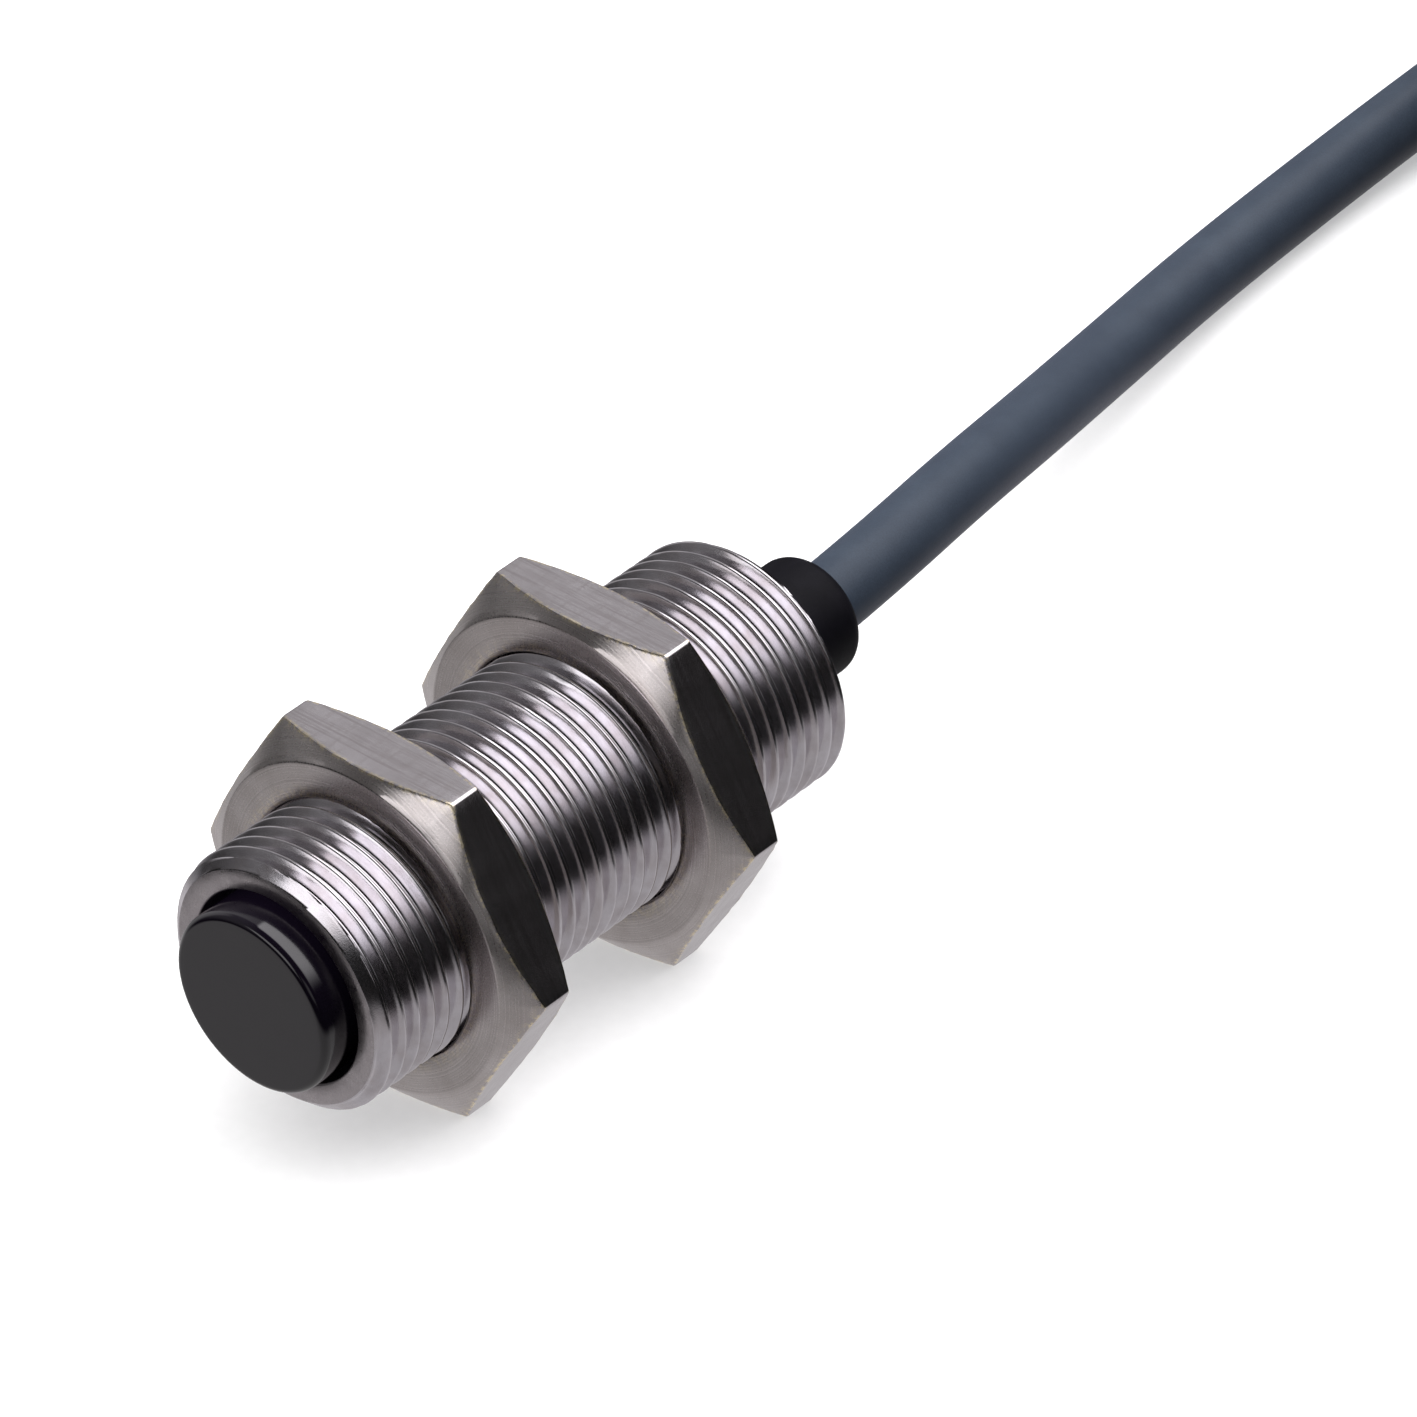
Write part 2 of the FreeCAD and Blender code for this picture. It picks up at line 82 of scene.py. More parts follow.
GROMMET_NECK = (35.5, 37.4)
GROMMET_REAR = 39.6
CABLE_RADIUS = 2.0
CORE_RADIUS = 0.55
TURN_STEPS = 144

# ---------------------------------------------------------------- camera

CAMERA_TARGET = Vector((7.3, 4.2, 16.2))
CAMERA_DISTANCE = 414.5
CAMERA_AZIMUTH = math.radians(41.8)
CAMERA_ELEVATION = math.radians(36.7)
CAMERA_ROLL = math.radians(-1.35)
CAMERA_LENS = 218.7


def make_camera():
    data = bpy.data.cameras.new("camera")
    data.lens = CAMERA_LENS
    data.sensor_width = 36.0
    data.clip_start = 0.01
    data.clip_end = 20.0
    camera = bpy.data.objects.new("camera", data)
    bpy.context.scene.collection.objects.link(camera)
    azimuth, elevation = CAMERA_AZIMUTH, CAMERA_ELEVATION
    back = Vector((math.sin(azimuth) * math.cos(elevation), -math.cos(azimuth) * math.cos(elevation),
                   math.sin(elevation)))
    right = Vector((math.cos(azimuth), math.sin(azimuth), 0.0))
    up = back.cross(right)
    turned_right = math.cos(CAMERA_ROLL) * right + math.sin(CAMERA_ROLL) * up
    turned_up = back.cross(turned_right)
    matrix = Matrix((turned_right, turned_up, back)).transposed().to_4x4()
    matrix.translation = (CAMERA_TARGET + back * CAMERA_DISTANCE) * MM
    camera.matrix_world = matrix
    bpy.context.scene.camera = camera


make_camera()

# ---------------------------------------------------------------- materials


class Look:
    """One material's nodes. Patterns are in millimetres of the object's own coordinates."""

    def __init__(self, name, **sockets):
        self.material = bpy.data.materials.new(name)
        self.material.use_nodes = True
        self.tree = self.material.node_tree
        self.shader = self.tree.nodes["Principled BSDF"]
        for socket, value in sockets.items():
            self.shader.inputs[socket.replace("_", " ")].default_value = value

    def add(self, kind, **settings):
        made = self.tree.nodes.new("ShaderNode" + kind)
        for name, value in settings.items():
            setattr(made, name, value)
        return made

    def join(self, source, target):
        self.tree.links.new(source, target)

    def place(self, per_mm, shift=(0.0, 0.0, 0.0)):
        """Object coordinates scaled to this many units per millimetre along each axis."""
        where = self.add("TexCoord")
        mapping = self.add("Mapping")
        self.join(where.outputs["Object"], mapping.inputs["Vector"])
        mapping.inputs["Scale"].default_value = [value / MM for value in per_mm]
        mapping.inputs["Location"].default_value = shift
        return mapping.outputs["Vector"]

    def noise(self, per_mm, detail, roughness, shift=(0.0, 0.0, 0.0)):
        if not isinstance(per_mm, tuple):
            per_mm = (per_mm,) * 3
        made = self.add("TexNoise")
        self.join(self.place(per_mm, shift), made.inputs["Vector"])
        made.inputs["Scale"].default_value = 1.0
        made.inputs["Detail"].default_value = detail
        made.inputs["Roughness"].default_value = roughness
        return made.outputs["Fac"]

    def ramp(self, value, *stops):
        """Blend between stops, each a position and a grey value or a colour."""
        made = self.add("ValToRGB")
        elements = made.color_ramp.elements
        while len(elements) < len(stops):
            elements.new(0.5)
        for element, (position, shade) in zip(elements, stops):
            element.position = position
            element.color = (*shade, 1.0) if isinstance(shade, tuple) else (shade, shade, shade, 1.0)
        self.join(value, made.inputs["Fac"])
        return made.outputs["Color"]

    def math(self, operation, first, second):
        made = self.add("Math", operation=operation)
        for socket, value in zip(made.inputs, (first, second)):
            if isinstance(value, (int, float)):
                socket.default_value = value
            else:
                self.join(value, socket)
        return made.outputs[0]

    def mix(self, share, first, second, blend="MIX"):
        made = self.add("Mix", data_type="RGBA", blend_type=blend)
        for socket, value in ((made.inputs[0], share), (made.inputs[6], first), (made.inputs[7], second)):
            if isinstance(value, tuple):
                socket.default_value = (*value, 1.0)
            elif isinstance(value, (int, float)):
                socket.default_value = value
            else:
                self.join(value, socket)
        return made.outputs[2]

    def attribute(self, name):
        return self.add("Attribute", attribute_name=name).outputs["Fac"]

    def set(self, socket, source):
        self.join(source, self.shader.inputs[socket])

    def bump(self, height, depth, strength):
        """Add relief this many millimetres deep."""
        made = self.add("Bump")
        made.inputs["Distance"].default_value = depth * MM
        made.inputs["Strength"].default_value = strength
        self.join(height, made.inputs["Height"])
        before = self.shader.inputs["Normal"].links
        if before:
            self.join(before[0].from_socket, made.inputs["Normal"])
        self.join(made.outputs["Normal"], self.shader.inputs["Normal"])

    def turned_about_axis(self, amount):
        """Turning marks that run round the Y axis, as a stretched reflection."""
        tangent = self.add("Tangent", direction_type="RADIAL", axis="Y")
        self.join(tangent.outputs["Tangent"], self.shader.inputs["Tangent"])
        self.shader.inputs["Anisotropic"].default_value = amount


def radius_from_axis(look):
    """Distance from the sensor's axis, in millimetres."""
    where = look.place((1.0, 0.0, 1.0), (0.0, 0.0, -AXIS_HEIGHT))
    length = look.add("VectorMath", operation="LENGTH")
    look.join(where, length.inputs[0])
    return length.outputs["Value"]


def steel_look():
    look = Look("threaded_steel", Metallic=1.0)
    streaks = look.noise((0.5, 3.2, 0.5), 4.0, 0.6)
    grain = look.noise(13.0, 3.0, 0.6)
    blotches = look.noise(0.7, 3.0, 0.55)
    shade = look.ramp(streaks, (0.3, (0.57, 0.55, 0.58)), (0.7, (0.70, 0.68, 0.715)))
    stain = look.ramp(blotches, (0.35, (0.84, 0.81, 0.79)), (0.6, (1.0, 1.0, 1.0)))
    look.set("Base Color", look.mix(0.7, shade, stain, "MULTIPLY"))
    rough = look.math("ADD", look.math("MULTIPLY", streaks, 0.06), look.math("MULTIPLY", grain, 0.10))
    look.set("Roughness", look.math("ADD", rough, 0.09))
    look.bump(streaks, 0.003, 0.25)
    look.bump(grain, 0.003, 0.7)
    return look.material


def barrel_face_look():
    look = Look("turned_steel_face", Metallic=1.0)
    grain = look.noise(9.0, 4.0, 0.65)
    rings = look.noise((2.0, 12.0, 2.0), 3.0, 0.6)
    look.set("Base Color", look.ramp(grain, (0.3, (0.44, 0.41, 0.42)), (0.7, (0.58, 0.545, 0.56))))
    look.set("Roughness", look.ramp(rings, (0.3, 0.25), (0.7, 0.42)))
    look.bump(grain, 0.01, 0.7)
    return look.material


def nut_face_look():
    look = Look("turned_nickel", Metallic=1.0)
    look.turned_about_axis(0.75)
    rings = look.add("TexNoise", noise_dimensions="1D")
    look.join(look.math("MULTIPLY", radius_from_axis(look), 9.0), rings.inputs["W"])
    rings.inputs["Scale"].default_value = 1.0
    rings.inputs["Detail"].default_value = 3.0
    marks = rings.outputs["Fac"]
    grain = look.noise(11.0, 3.0, 0.6)
    stain = look.noise(0.45, 4.0, 0.6)
    edge = look.attribute("edge")
    nicks_and_glints = look.noise(3.2, 3.0, 0.7)
    shade = look.ramp(stain, (0.3, (0.54, 0.50, 0.485)), (0.7, (0.66, 0.62, 0.61)))
    spotted = look.mix(look.ramp(grain, (0.25, 0.35), (0.42, 0.0)), shade, (0.34, 0.31, 0.28))
    # Nicked edges get a light brass colour: worn plating that shows brass, and also a painted glint that
    # makes the edges look lit.
    worn_edge_and_glint = look.math("MULTIPLY", edge, look.ramp(nicks_and_glints, (0.46, 0.0), (0.56, 1.0)))
    look.set("Base Color", look.mix(worn_edge_and_glint, spotted, (0.95, 0.84, 0.62)))
    rough = look.math("ADD", look.math("MULTIPLY", marks, 0.12), look.math("MULTIPLY", grain, 0.14))
    look.set("Roughness", look.math("ADD", rough, 0.16))
    look.bump(marks, 0.006, 0.6)
    look.bump(grain, 0.005, 0.6)
    return look.material


def nut_flat_look():
    look = Look("drawn_nickel", Metallic=1.0)
    lines = look.noise((0.18, 7.0, 0.18), 4.0, 0.65)
    grain = look.noise(12.0, 3.0, 0.6)
    stain = look.noise(0.5, 4.0, 0.6, (4.0, 1.0, 2.0))
    edge = look.attribute("edge")
    nicks_and_glints = look.noise(3.2, 3.0, 0.7)
    shade = look.ramp(stain, (0.3, (0.56, 0.53, 0.545)), (0.7, (0.66, 0.63, 0.65)))
    across = look.noise((3.0, 0.5, 3.0), 4.0, 0.7)
    lined = look.mix(look.ramp(lines, (0.36, 0.45), (0.52, 0.0)), shade, (0.42, 0.38, 0.38))
    lined = look.mix(look.ramp(across, (0.34, 0.3), (0.5, 0.0)), lined, (0.44, 0.40, 0.39))
    # Nicked edges get a light brass colour: worn plating that shows brass, and also a painted glint that
    # makes the edges look lit.
    worn_edge_and_glint = look.math("MULTIPLY", edge, look.ramp(nicks_and_glints, (0.45, 0.0), (0.55, 1.0)))
    look.set("Base Color", look.mix(worn_edge_and_glint, lined, (0.98, 0.86, 0.62)))
    rough = look.math("ADD", look.math("MULTIPLY", lines, 0.10), look.math("MULTIPLY", grain, 0.12))
    look.set("Roughness", look.math("ADD", rough, 0.08))
    look.bump(lines, 0.008, 0.5)
    look.bump(grain, 0.005, 0.6)
    return look.material


def cap_look():
    look = Look("black_window", Roughness=0.1, IOR=1.5, Specular_IOR_Level=0.7)
    dust = look.noise(16.0, 3.0, 0.6)
    mould = look.noise(0.5, 2.0, 0.5)
    look.set("Base Color", look.ramp(dust, (0.3, (0.0026, 0.0016, 0.0040)), (0.75, (0.0050, 0.0032, 0.0078))))
    look.set("Roughness", look.ramp(mould, (0.3, 0.08), (0.7, 0.15)))
    look.bump(mould, 0.02, 0.3)
    return look.material


def rubber_look():
    look = Look("black_rubber", IOR=1.5, Specular_IOR_Level=0.1)
    grain = look.noise(18.0, 4.0, 0.6)
    cloud = look.noise(0.8, 3.0, 0.5)
    look.set("Base Color", look.ramp(cloud, (0.3, (0.0022, 0.0020, 0.0034)), (0.7, (0.0042, 0.0038, 0.0062))))
    look.set("Roughness", look.ramp(grain, (0.3, 0.48), (0.7, 0.66)))
    look.bump(grain, 0.012, 0.8)
    return look.material


def jacket_look():
    look = Look("grey_cable_jacket", IOR=1.5, Specular_IOR_Level=0.16, Sheen_Weight=0.2, Sheen_Roughness=0.3)
    look.shader.inputs["Sheen Tint"].default_value = (0.74, 0.76, 1.0, 1.0)
    grain = look.noise(11.0, 3.0, 0.6)
    cloud = look.noise(0.35, 3.0, 0.5)
    shade = look.ramp(cloud, (0.3, (0.031, 0.041, 0.059)), (0.7, (0.038, 0.050, 0.070)))
    speck = look.ramp(grain, (0.3, (0.82, 0.82, 0.82)), (0.7, (1.12, 1.12, 1.12)))
    look.set("Base Color", look.mix(1.0, shade, speck, "MULTIPLY"))
    look.set("Roughness", look.ramp(grain, (0.3, 0.36), (0.7, 0.50)))
    look.bump(grain, 0.008, 0.8)
    return look.material


def plastic_look(name, colour, roughness):
    """Moulded plastic or resin with a fine grain."""
    look = Look(name, IOR=1.5)
    grain = look.noise(10.0, 3.0, 0.6)
    cloud = look.noise(0.7, 3.0, 0.5)
    dark = tuple(value * 0.82 for value in colour)
    look.set("Base Color", look.ramp(cloud, (0.3, dark), (0.7, colour)))
    look.set("Roughness", look.ramp(grain, (0.3, roughness - 0.07), (0.7, roughness + 0.07)))
    look.bump(grain, 0.006, 0.8)
    return look.material


def metal_look(name, colour, roughness):
    """Plain sheet or plated metal with fine rolling lines."""
    look = Look(name, Metallic=1.0)
    lines = look.noise((0.6, 9.0, 0.6), 3.0, 0.6)
    grain = look.noise(9.0, 3.0, 0.6)
    dark = tuple(value * 0.8 for value in colour)
    look.set("Base Color", look.ramp(lines, (0.3, dark), (0.7, colour)))
    look.set("Roughness", look.ramp(grain, (0.3, roughness - 0.08), (0.7, roughness + 0.1)))
    look.bump(lines, 0.006, 0.6)
    return look.material


def clear_look(name, colour):
    """Clear moulded resin, slightly tinted and clouded."""
    look = Look(name, IOR=1.5)
    look.shader.inputs["Transmission Weight"].default_value = 0.85
    cloud = look.noise(1.5, 3.0, 0.5)
    dark = tuple(value * 0.9 for value in colour)
    look.set("Base Color", look.ramp(cloud, (0.3, dark), (0.7, colour)))
    look.set("Roughness", look.ramp(cloud, (0.3, 0.05), (0.7, 0.11)))
    return look.material


def board_look():
    """Green solder mask with a hint of tracks under it."""
    look = Look("circuit_board", IOR=1.5)
    tracks = look.add("TexBrick", offset=0.5)
    look.join(look.place((0.5, 0.35, 0.5)), tracks.inputs["Vector"])
    tracks.inputs["Scale"].default_value = 1.0
    tracks.inputs["Mortar Size"].default_value = 0.08
    cloud = look.noise(1.0, 3.0, 0.5)
    mask = look.ramp(cloud, (0.3, (0.008, 0.060, 0.026)), (0.7, (0.012, 0.085, 0.036)))
    look.set("Base Color", look.mix(tracks.outputs["Fac"], mask, (0.03, 0.17, 0.07)))
    look.set("Roughness", look.ramp(cloud, (0.3, 0.25), (0.7, 0.38)))
    look.bump(tracks.outputs["Fac"], 0.03, 0.7)
    return look.material


STEEL = steel_look()
BARREL_FACE = barrel_face_look()
NUT_FACE = nut_face_look()
NUT_FLAT = nut_flat_look()
CAP = cap_look()
RUBBER = rubber_look()
JACKET = jacket_look()
TIE = plastic_look("black_nylon", (0.040, 0.040, 0.042), 0.4)
BROWN = plastic_look("brown_insulation", (0.12, 0.045, 0.018), 0.4)
BLUE = plastic_look("blue_insulation", (0.02, 0.09, 0.36), 0.4)
BLACK = plastic_look("black_insulation", (0.014, 0.014, 0.016), 0.4)
TINNED = metal_look("tinned_copper", (0.74, 0.73, 0.70), 0.3)

# ---------------------------------------------------------------- meshes


def finish_mesh(name, mesh, materials, body, slot, *replaced, sharp=34.0):
    """Turn a bmesh into a piece that rides on a body and stands for CAD nodes."""
    bmesh.ops.recalc_face_normals(mesh, faces=mesh.faces[:])
    limit = math.radians(sharp)
    for edge in mesh.edges:
        edge.smooth = len(edge.link_faces) != 2 or edge.calc_face_angle(0.0) < limit
    for face in mesh.faces:
        face.smooth = True
    data = bpy.data.meshes.new(name)
    mesh.to_mesh(data)
    mesh.free()
    for material in materials:
        data.materials.append(material)
    return add_piece(name, data, body, slot, *replaced)


def add_piece(name, data, body, slot, *replaced):
    piece = bpy.data.objects.new(name, data)
    bpy.context.scene.collection.objects.link(piece)
    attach(piece, body)
    if replaced:
        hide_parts(*replaced)
    return piece


def laid_down(radius, angle, along):
    """A point at this radius and angle round the axis, this far behind the barrel's front face."""
    x = radius * math.cos(angle)
    z = AXIS_HEIGHT - radius * math.sin(angle)
    return Vector((x, FACE_Y + along, z)) * MM


def arc(centre_radius, centre_along, size, start, end, steps):
    """Profile points on an arc, angles in degrees from the outward radius towards the rear."""
    points = []
    for step in range(steps + 1):
        angle = math.radians(start + (end - start) * step / steps)
        points.append((centre_radius + size * math.cos(angle), centre_along + size * math.sin(angle)))
    return points


def turned(mesh, profile, steps, material=0, closed=True):
    """Spin a profile of radius and distance behind the face into rings of quads."""
    rings = []
    for radius, along in profile:
        if radius < 1e-6:
            rings.append([mesh.verts.new(laid_down(0.0, 0.0, along))])
        else:
            ring = [laid_down(radius, math.tau * i / steps, along) for i in range(steps)]
            rings.append([mesh.verts.new(point) for point in ring])
    pairs = list(zip(rings, rings[1:]))
    if closed:
        pairs.append((rings[-1], rings[0]))
    for first, second in pairs:
        for i in range(steps):
            corners = [first[i % len(first)], first[(i + 1) % len(first)],
                       second[(i + 1) % len(second)], second[i % len(second)]]
            unique = list(dict.fromkeys(corners))
            if len(unique) > 2:
                mesh.faces.new(unique).material_index = material
    return rings


# Depth under the crest at each distance from a groove's middle: a rounded root, a straight 60 degree flank
# and a narrow flat crest.
GROOVE = ((0.0, 0.590), (0.045, 0.582), (0.085, 0.560), (0.12, 0.530), (0.19, 0.413), (0.265, 0.286),
          (0.34, 0.156), (0.40, 0.052), (0.425, 0.018), (0.455, 0.003), (0.5, 0.0))


def make_barrel():
    """Helical thread from end to end, chamfered at both ends, with the bore and the lip inside."""
    mesh = bmesh.new()
    one_pitch = [(-distance, depth) for distance, depth in reversed(GROOVE)]
    one_pitch += list(GROOVE[1:-1])
    count = len(one_pitch)
    rows = []
    for groove in range(-1, int(BARREL_LENGTH) + 2):
        for distance, depth in one_pitch:
            row = []
            for i in range(TURN_STEPS):
                angle = math.tau * i / TURN_STEPS
                along = (groove + distance + i / TURN_STEPS) * PITCH
                along = min(max(along, 0.0), BARREL_LENGTH)
                from_end = min(along, BARREL_LENGTH - along)
                envelope = FACE_RADIUS + (THREAD_RADIUS - FACE_RADIUS) * min(from_end / CHAMFER_RUN, 1.0)
                radius = min(THREAD_RADIUS - depth, envelope)
                point = Vector((4.0 * math.cos(angle), 4.0 * math.sin(angle), 1.3 * along))
                if depth < 0.1 and 0.0 < from_end:
                    radius -= BURR_DEPTH * max(noise.noise(point * 1.7) - 0.18, 0.0)
                row.append(mesh.verts.new(laid_down(radius, angle, along)))
            rows.append(row)
    for index in range(len(rows) - 1 - count):
        for i in range(TURN_STEPS):
            # A full turn on, the thread has moved by one pitch, so the seam joins the rows one pitch apart.
            ahead, column = (index, i + 1) if i + 1 < TURN_STEPS else (index + count, 0)
            mesh.faces.new([rows[index][i], rows[ahead][column], rows[ahead + 1][column], rows[index + 1][i]])
    rear = BARREL_LENGTH
    inside = [(FACE_RADIUS, 0.0), (LIP_RADIUS + 0.12, 0.0), (LIP_RADIUS + 0.03, 0.04), (LIP_RADIUS, 0.12),
              (LIP_RADIUS, LIP_LENGTH), (BORE_RADIUS, LIP_LENGTH), (BORE_RADIUS, rear - 0.1),
              (BORE_RADIUS + 0.1, rear), (FACE_RADIUS, rear)]
    turned(mesh, inside, TURN_STEPS, material=1, closed=False)
    bmesh.ops.remove_doubles(mesh, verts=mesh.verts[:], dist=2e-6)
    loose = [vert for vert in mesh.verts if not vert.link_faces]
    bmesh.ops.delete(mesh, geom=loose, context="VERTS")
    finish_mesh("threaded_barrel", mesh, [STEEL, BARREL_FACE], "barrel", "steel", "barrel", sharp=50.0)


def hexagon_outline():
    """Points round the nut, each as radius and angle, with small rounded corners."""
    reach = (NUT_FLATS / 2 - NUT_CORNER_ROUND) / math.cos(math.radians(30))
    points = []
    corner_steps, flat_steps = 5, 24
    for side in range(6):
        middle = math.radians(60 * side)
        following = math.radians(60 * (side + 1))
        centre = Vector((math.cos(middle), math.sin(middle))) * reach
        for step in range(corner_steps + 1):
            turn = middle + math.radians(-30 + 60 * step / corner_steps)
            points.append(centre + Vector((math.cos(turn), math.sin(turn))) * NUT_CORNER_ROUND)
        last = points[-1]
        turn = following - math.radians(30)
        target = Vector((math.cos(following), math.sin(following))) * reach
        target = target + Vector((math.cos(turn), math.sin(turn))) * NUT_CORNER_ROUND
        points += [last.lerp(target, step / flat_steps) for step in range(1, flat_steps)]
    return [(point.length, math.atan2(point.y, point.x)) for point in points]


def make_nut(name, body, front):
    """Hexagon nut with turned faces, chamfered corners and slightly burred edges."""
    mesh = bmesh.new()
    edge = mesh.verts.layers.float.new("edge")
    outline = hexagon_outline()
    seed = front * 3.7  # gives each nut wear of its own
    corner_reach = NUT_FLATS / 2 / math.cos(math.radians(30))
    drop_per_mm = (NUT_CORNER_DROP - NUT_FLAT_DROP) / (corner_reach - NUT_FLATS / 2)

    def half_profile(kinds):
        """Rings of radius, angle, depth behind the face and wear, from the bore to a flat. The wear sizes the
        burrs and, through the edge attribute, sets where the materials paint worn brass with a painted glint.
        """
        found = []
        for kind, amount, wear_and_glint in kinds:
            ring = []
            for rim, angle in outline:
                where = Vector((math.cos(angle) * rim, math.sin(angle) * rim, seed))
                chip = noise.noise(where * 1.9) + 0.5 * noise.noise(where * 5.3)
                chamfer = NUT_FLAT_DROP + (rim - NUT_FLATS / 2) * drop_per_mm
                if kind == "face":
                    radius, depth = amount
                    if wear_and_glint:
                        radius += BURR_DEPTH * chip
                elif kind == "cone":
                    radius = NUT_FACE_RADIUS + (rim - 0.07 - NUT_FACE_RADIUS) * amount
                    depth = (chamfer - 0.04) * amount
                else:
                    burr = BURR_DEPTH * max(chip, -0.3)
                    radius = rim - amount[0] + burr * wear_and_glint
                    depth = chamfer + amount[1] + 0.5 * burr * wear_and_glint
                ring.append((radius, angle, depth, wear_and_glint))
            found.append(ring)
        return found

    rows = half_profile([
        ("face", (NUT_BORE_RADIUS, NUT_MOUTH_RADIUS - NUT_BORE_RADIUS), 0.0),
        ("face", (NUT_MOUTH_RADIUS - 0.04, 0.03), 0.6),
        ("face", (NUT_MOUTH_RADIUS + 0.05, 0.0), 0.4),
        ("face", (8.0, 0.0), 0.0),
        ("face", (8.5, 0.0), 0.0),
        ("face", (NUT_FACE_RADIUS - 0.09, 0.0), 0.0),
        ("face", (NUT_FACE_RADIUS - 0.03, 0.006), 0.0),
        ("cone", 0.06, 0.0),
        ("cone", 0.35, 0.0),
        ("cone", 0.7, 0.0),
        ("cone", 0.94, 0.25),
        ("rim", (0.075, -0.04), 1.0),
        ("rim", (0.018, 0.012), 1.0),
        ("rim", (0.0, 0.09), 0.6),
        ("rim", (0.0, 0.2), 0.0),
    ])
    rings = []
    rear = front + NUT_THICKNESS
    for half, face, inward in ((rows, front, 1), (rows[::-1], rear, -1)):
        for row in half:
            ring = []
            for radius, angle, depth, wear_and_glint in row:
                vert = mesh.verts.new(laid_down(radius, angle, face + inward * depth))
                # The edge attribute carries this amount to the nut's materials, which paint worn brass and a
                # painted glint there.
                vert[edge] = wear_and_glint
                ring.append(vert)
            rings.append(ring)
    first_flat, last_flat = len(rows) - 3, len(rows) + 2
    steps = len(outline)
    for index, (ring, following) in enumerate(zip(rings, rings[1:] + rings[:1])):
        for i in range(steps):
            j = (i + 1) % steps
            quad = mesh.faces.new([ring[i], ring[j], following[j], following[i]])
            quad.material_index = 1 if first_flat <= index < last_flat else 0
    finish_mesh(name, mesh, [NUT_FACE, NUT_FLAT], body, "nickel", body, sharp=20.0)


def make_cap():
    """Glossy black window cap with a softly rounded rim."""
    mesh = bmesh.new()
    flange_front, flange_rear = CAP_FLANGE
    inner_radius = 4.1
    inside_front = CAP_FRONT + CAP_WALL
    profile = [(0.0, CAP_FRONT), (2.2, CAP_FRONT), (4.2, CAP_FRONT)]
    profile += arc(CAP_RADIUS - CAP_ROUND, CAP_FRONT + CAP_ROUND, CAP_ROUND, -90, 0, 12)
    profile += [(CAP_RADIUS, 0.0), (CAP_RADIUS, flange_front), (CAP_FLANGE_RADIUS, flange_front),
                (CAP_FLANGE_RADIUS, flange_rear), (inner_radius, flange_rear), (inner_radius, inside_front),
                (0.0, inside_front)]
    turned(mesh, profile, 128, closed=False)
    finish_mesh("window_cap", mesh, [CAP], "barrel", "window", "lens_cap")


def make_grommet():
    """Rubber grommet with a rounded nose and a fine lip where the cable leaves it."""
    mesh = bmesh.new()
    plug_front, plug_rear = GROMMET_PLUG
    hole = CABLE_RADIUS + 0.02
    foot, nose = 0.3, 1.0
    profile = [(hole, plug_front), (GROMMET_PLUG_RADIUS, plug_front), (GROMMET_PLUG_RADIUS, plug_rear - 0.1),
               (GROMMET_PLUG_RADIUS - 0.1, plug_rear), (GROMMET_NECK_RADIUS + foot, plug_rear)]
    profile += arc(GROMMET_NECK_RADIUS + foot, plug_rear + foot, foot, 270, 180, 5)
    profile += [(GROMMET_NECK_RADIUS, along) for along in GROMMET_NECK]
    profile += arc(GROMMET_NECK_RADIUS - nose, GROMMET_REAR - nose, nose, 0, 90, 10)
    profile += [(hole + 0.1, GROMMET_REAR - 0.02), (hole, GROMMET_REAR - 0.12)]
    turned(mesh, profile, 96)
    finish_mesh("rubber_grommet", mesh, [RUBBER], "barrel", "grommet", "cable_grommet")


# ---------------------------------------------------------------- cable

CABLE_WAY = [
    (0.0, 20.7, 9.5),
    (-0.4, 25.6, 9.5),
    (-2.2, 34.5, 8.6),
    (-4.9, 44.0, 6.3),
    (-8.0, 54.0, 3.7),
    (-10.3, 65.0, 2.3),
    (-11.3, 77.0, 2.0),
    (-11.7, 88.0, 2.1),
    (-11.6, 98.5, 2.5),
]
TAIL_WAY = [
    (-11.1, 116.0, 14.7),
    (-8.6, 126.5, 13.2),
    (-1.6, 135.6, 10.4),
    (9.2, 141.1, 7.2),
    (21.6, 141.2, 4.4),
    (33.2, 136.9, 2.6),
    (42.7, 129.1, 2.1),
    (47.8, 119.8, 2.0),
    (49.3, 109.6, 2.0),
    (49.3, 99.6, 2.0),
]
COIL_CENTRE = Vector((16.6, 108.0))
COIL_LAYERS = (2.8, 6.8, 10.8, 14.8)
COIL_RADII = (28.0, 24.0, 20.0)
POINTS_PER_TURN = 12


def coil_points():
    """Turns that fill one layer inwards and the next outwards, each stepping over at its own place."""
    slots = []
    for index, height in enumerate(COIL_LAYERS):
        radii = COIL_RADII if index % 2 == 0 else COIL_RADII[::-1]
        slots += [(radius, height) for radius in radii]
    control = 1 / math.cos(math.pi / POINTS_PER_TURN)
    points = []
    for turn, slot in enumerate(slots):
        following = slots[min(turn + 1, len(slots) - 1)]
        step_over = POINTS_PER_TURN - 1 - turn
        for step in range(POINTS_PER_TURN):
            radius, height = slot if step <= step_over else following
            angle = math.pi - math.tau * step / POINTS_PER_TURN
            x = COIL_CENTRE.x + radius * control * math.cos(angle)
            y = COIL_CENTRE.y + radius * control * math.sin(angle)
            points.append((x, y, height))
    radius, height = slots[-1]
    points.append((COIL_CENTRE.x - radius * control, COIL_CENTRE.y, height))
    return points


